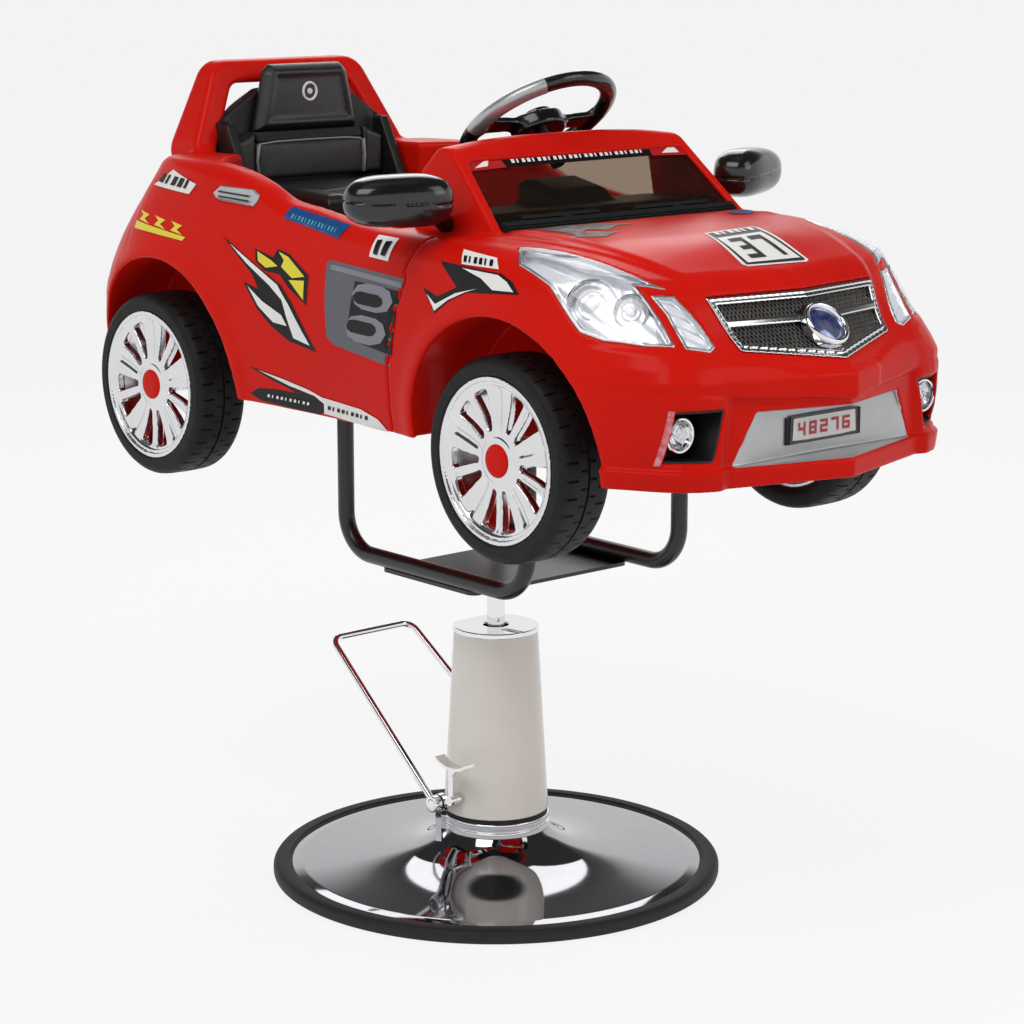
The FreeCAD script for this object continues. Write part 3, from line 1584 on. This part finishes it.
def build():
    made = {}
    made["base_rubber_ring"] = base_ring()
    made["ground_plate"] = ground_plate()
    made["base_disc"] = base_disc()
    made["base_collar"] = base_collar()
    made["cover_gasket"] = cover_gasket()
    made["column_cover"] = column_cover()
    made["column_cap"] = column_cap()
    made["pump_body"] = pump_body()
    made["rod_gland"] = rod_gland()
    made["piston_rod"] = piston_rod()
    made["pump_lever"] = pump_lever()
    made["lever_shaft"] = lever_shaft()
    made["pump_plunger"] = pump_plunger()
    made["lever_bracket"] = lever_bracket(made["base_disc"].fuse(made["base_collar"]))
    made["release_pedal"] = release_pedal()

    made["top_plate"] = top_plate()
    made["frame_tubes"] = both(frame_tube())
    made["mounting_rails"] = both(mounting_rail())
    made["fasteners"] = fasteners()

    outer = body_solid(0)
    bowl_back = body_solid(bowl_depth + bowl_wall)
    inner = body_solid(body_wall)
    shell = body_shell(outer, inner)
    lamp_skins = (outer, body_solid(lens_thickness), body_solid(bowl_depth), bowl_back)
    cuts = [prism(grille_outline(0), V(front_overhang + overrun, 0, 0)),
            recess_prism(panel_thickness)]
    bowls = []
    for name, shares in (("headlight", headlight_shares), ("indicator", indicator_shares)):
        opening, lens, bowl = lamp(shares, front_axle_x, front_overhang, lamp_skins)
        cuts += [opening, mirrored(opening)]
        if name == "headlight":
            bowl = bowl.fuse([barrel.common(lamp_skins[1]) for barrel in projectors()])
        made[name + "_lenses"] = both(lens)
        bowls += [bowl, mirrored(bowl)]
    made["lamp_bowls"] = Part.makeCompound(bowls)
    fog_opening = fog_prism(bowl_wall)
    cuts += [fog_opening, mirrored(fog_opening)]
    pocket = fog_pocket(outer)
    made["fog_pockets"] = both(pocket)
    made["fog_lamps"] = both(fog_lamp())
    front = ahead_of_seam(panel_gap)
    made["front_shell"] = main_piece(shell.common(front).cut(cuts))
    made["rear_shell"] = main_piece(shell.cut(ahead_of_seam(0)))
    mesh_back = body_solid(grille_sink)
    made["grille_frame"] = grille_frame(body_solid(-grille_proud), mesh_back)
    made["grille_mesh"] = grille_mesh(mesh_back, body_solid(grille_sink + mesh_thickness))
    made["badge_ring"] = badge_ring_part()
    made["badge_face"] = badge_lens()
    made["bumper_panel"] = bumper_panel(outer)
    made["number_plate"] = number_plate()

    frame = windscreen_frame(outer)
    made["windscreen_frame"] = frame
    glass = screen_prism(0, -overrun, screen_length, glass_inset, glass_thickness)
    made["windscreen_glass"] = main_piece(glass.cut(outer).cut(frame))
    made["cowl_and_wipers"] = cowl_and_wipers(outer, frame)
    housing, glass = mirror_pieces(frame)
    made["mirror_housings"] = both(housing)
    made["mirror_glasses"] = both(glass)
    trim = handle_trim(body_solid(-trim_thickness), outer)
    made["handle_trims"] = both(trim)
    made["roll_bar"] = roll_bar(outer)
    made["floor_pan"] = floor_pan(inner)
    made["seat_shell"] = seat_shell()
    made["headrest_pad"] = headrest_pad()
    made["seat_back_pads"] = seat_back_pads()
    made["seat_cushion"] = seat_cushion()
    made["dashboard"] = dashboard(outer)
    made["steering_wheel"] = steering_wheel()
    made["horn_button"] = horn_button()

    one_tyre = tyre()
    one_rim = rim()
    one_cap = hub_cap()
    for end, x in (("front", front_axle_x), ("rear", rear_axle_x)):
        place = V(x, 0, axle_height)
        for name, piece in (("tyre", one_tyre), ("rim", one_rim), ("hub_cap", one_cap)):
            right = piece.copy()
            right.translate(place)
            made[name + "_" + end + "_right"] = right
            made[name + "_" + end + "_left"] = mirrored(right)
    made["axles"] = Part.makeCompound([axle(front_axle_x), axle(rear_axle_x)])
    return made


def main():
    os.makedirs("parts", exist_ok=True)
    for name, shape in build().items():
        shape.exportStep("parts/" + name + ".step")


main()
